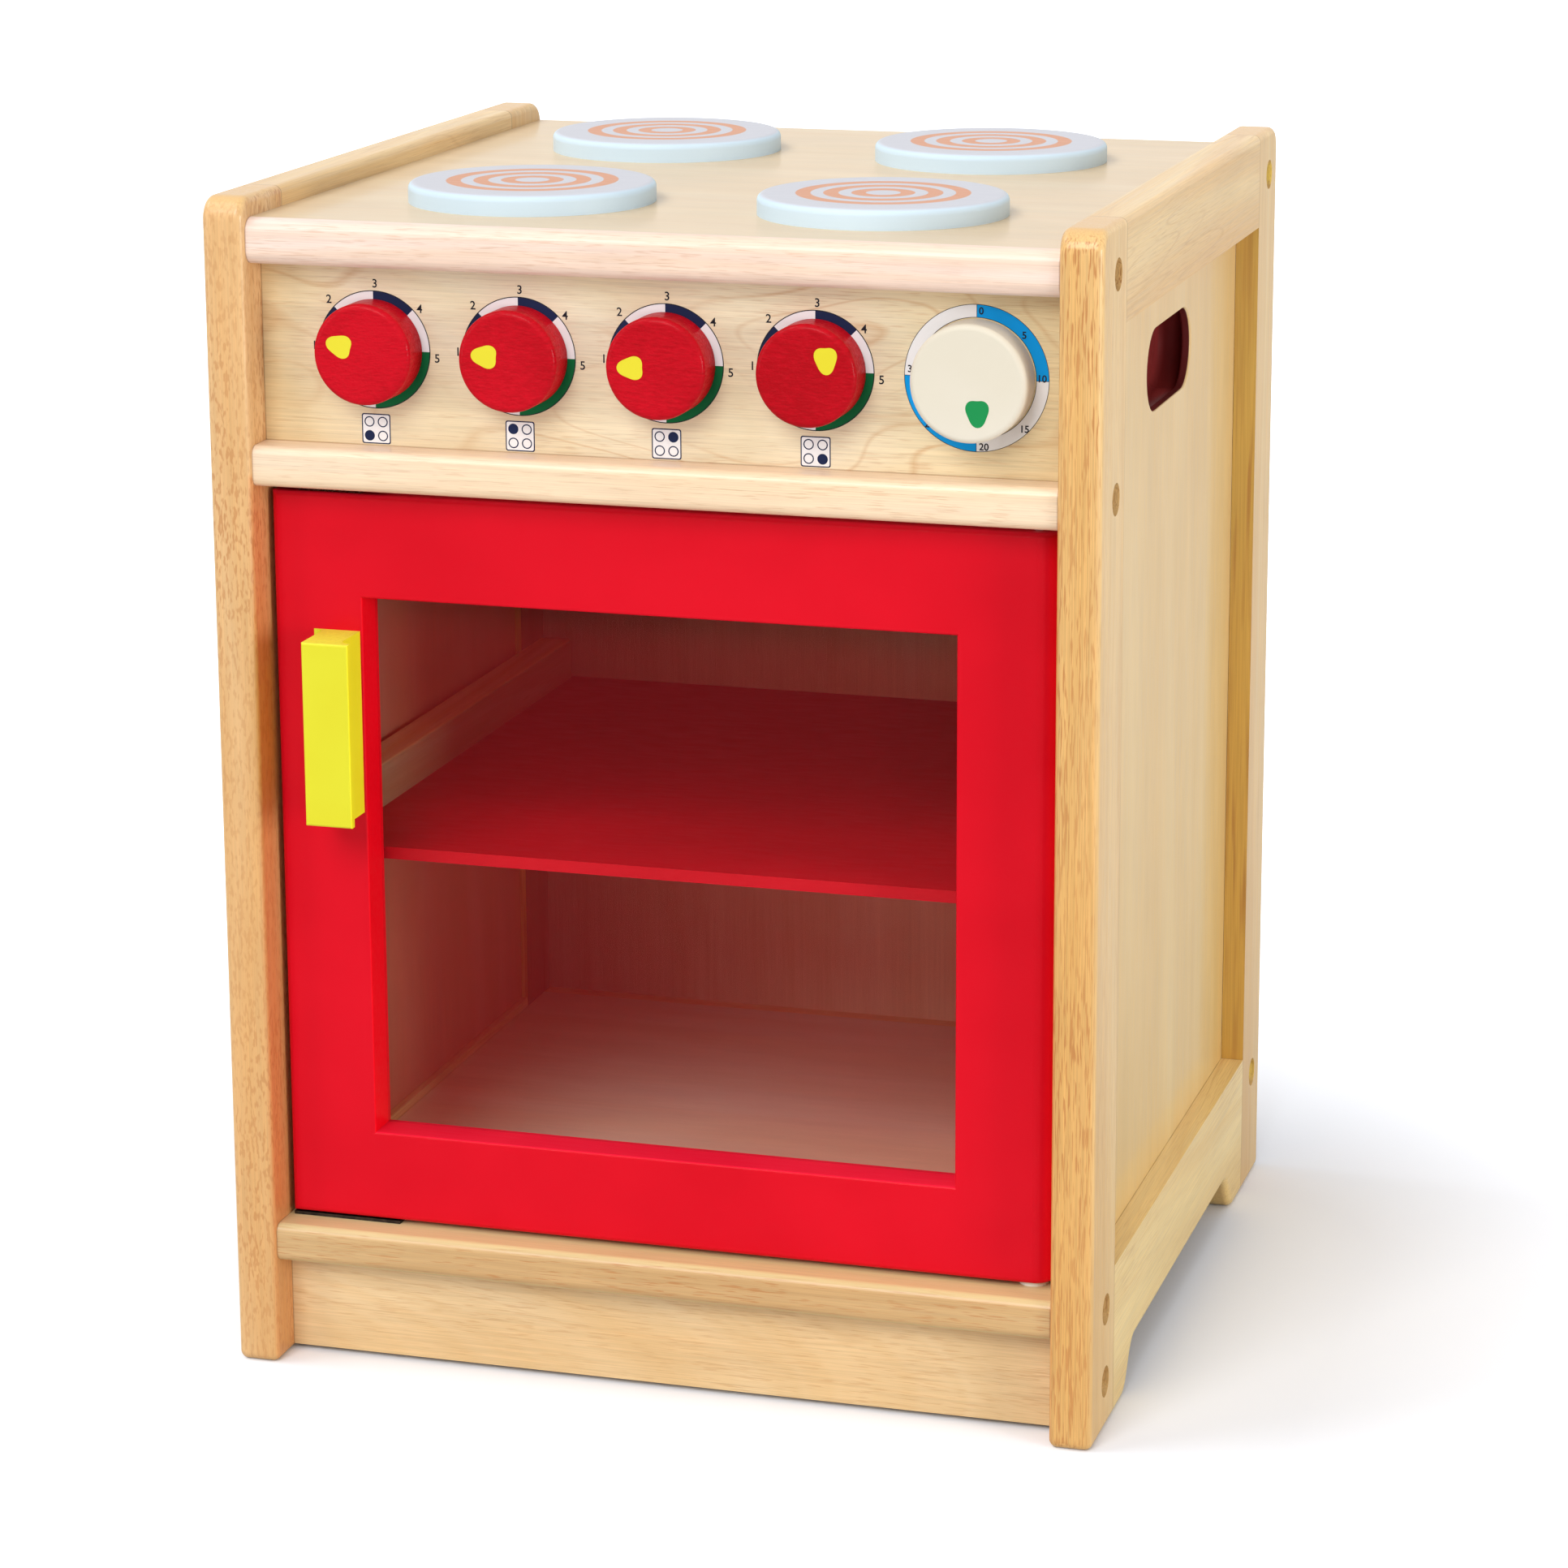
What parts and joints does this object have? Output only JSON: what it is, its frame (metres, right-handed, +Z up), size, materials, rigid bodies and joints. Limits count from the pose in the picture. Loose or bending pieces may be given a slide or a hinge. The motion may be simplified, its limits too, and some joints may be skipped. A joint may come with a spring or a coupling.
{
  "type": "toy stove",
  "caption": "Wooden toy stove with framed sides, round hob discs, turning knobs, a shelf and a hinged oven door with a clear window.",
  "frame": {"origin": "middle of the plan, finger pull included, on the floor", "axes": "+X to the right as seen from the front, +Y to the rear, +Z up; the door faces -Y"},
  "size_m": [0.396, 0.39, 0.53],
  "materials": {
    "solid_wood": "clear lacquered light hardwood with fine pores",
    "thin_plywood": "clear lacquered plywood",
    "pale_hob_board": "pale lacquered board",
    "oven_red_wood": "painted red",
    "pale_blue_disc": "painted pale blue with printed rings",
    "red_paint": "gloss paint on wood",
    "red_knob": "gloss paint on wood",
    "cream_knob": "satin paint on wood",
    "yellow_paint": "gloss paint on wood",
    "clear_pane": "clear acrylic sheet",
    "dark_catch": "dark moulded strip",
    "brass_bush": "turned",
    "nylon_washer": "natural nylon",
    "steel": "zinc plated"
  },
  "bodies": {
    "cabinet": {"back_panel": "thin_plywood", "back_panel_screws": "steel", "barrel_nuts": "steel", "catch_magnets": "steel", "catch_screws": "steel", "catch_strips": "dark_catch", "ceiling_battens": "solid_wood", "connector_bolts": "steel", "control_panel": "solid_wood", "door_stop": "solid_wood", "frame_dowels": "solid_wood", "hob_board": "pale_hob_board", "hob_disc_front_left": "pale_blue_disc", "hob_disc_front_right": "pale_blue_disc", "hob_disc_rear_left": "pale_blue_disc", "hob_disc_rear_right": "pale_blue_disc", "hob_disc_screws": "steel", "hob_front_rail": "solid_wood", "hob_rear_rail": "solid_wood", "left_bottom_rail": "solid_wood", "left_front_stile": "solid_wood", "left_panel": "thin_plywood", "left_rear_stile": "solid_wood", "left_shelf_runner": "solid_wood", "left_top_rail": "solid_wood", "lower_rail": "solid_wood", "middle_rail": "solid_wood", "oven_ceiling": "thin_plywood", "oven_floor": "thin_plywood", "pivot_bushes": "brass_bush", "pivot_washer": "nylon_washer", "plinth_board": "solid_wood", "rear_bottom_rail": "solid_wood", "right_bottom_rail": "solid_wood", "right_front_stile": "solid_wood", "right_panel": "thin_plywood", "right_rear_stile": "solid_wood", "right_shelf_runner": "solid_wood", "right_top_rail": "solid_wood", "shelf": "oven_red_wood"},
    "door": {"door_board": "red_paint", "door_pane": "clear_pane", "glazing_beads": "solid_wood", "glazing_screws": "steel", "door_pull": "yellow_paint", "door_pull_screws": "steel", "door_pivot_pins": "steel", "door_strikes": "steel"},
    "heat_knob_1": {"heat_knob_1": "red_knob", "heat_knob_1_screw": "steel"},
    "heat_knob_2": {"heat_knob_2": "red_knob", "heat_knob_2_screw": "steel"},
    "heat_knob_3": {"heat_knob_3": "red_knob", "heat_knob_3_screw": "steel"},
    "heat_knob_4": {"heat_knob_4": "red_knob", "heat_knob_4_screw": "steel"},
    "timer_knob": {"timer_knob": "cream_knob", "timer_knob_screw": "steel"}
  },
  "joints": [
    {"name": "door_hinge", "type": "hinge", "parent": "cabinet", "child": "door", "pos_m": [0.166, -0.158, 0.23375], "axis": [0, 0, 1], "range_deg": [0, 95]},
    {"name": "heat_knob_1_turn", "type": "hinge", "parent": "cabinet", "child": "heat_knob_1", "pos_m": [-0.12734, -0.175, 0.464], "axis": [0, 1, 0], "continuous": true},
    {"name": "heat_knob_2_turn", "type": "hinge", "parent": "cabinet", "child": "heat_knob_2", "pos_m": [-0.0614, -0.175, 0.464], "axis": [0, 1, 0], "continuous": true},
    {"name": "heat_knob_3_turn", "type": "hinge", "parent": "cabinet", "child": "heat_knob_3", "pos_m": [0.00455, -0.175, 0.464], "axis": [0, 1, 0], "continuous": true},
    {"name": "heat_knob_4_turn", "type": "hinge", "parent": "cabinet", "child": "heat_knob_4", "pos_m": [0.07049, -0.175, 0.464], "axis": [0, 1, 0], "continuous": true},
    {"name": "timer_knob_turn", "type": "hinge", "parent": "cabinet", "child": "timer_knob", "pos_m": [0.14019, -0.175, 0.464], "axis": [0, 1, 0], "continuous": true}
  ]
}
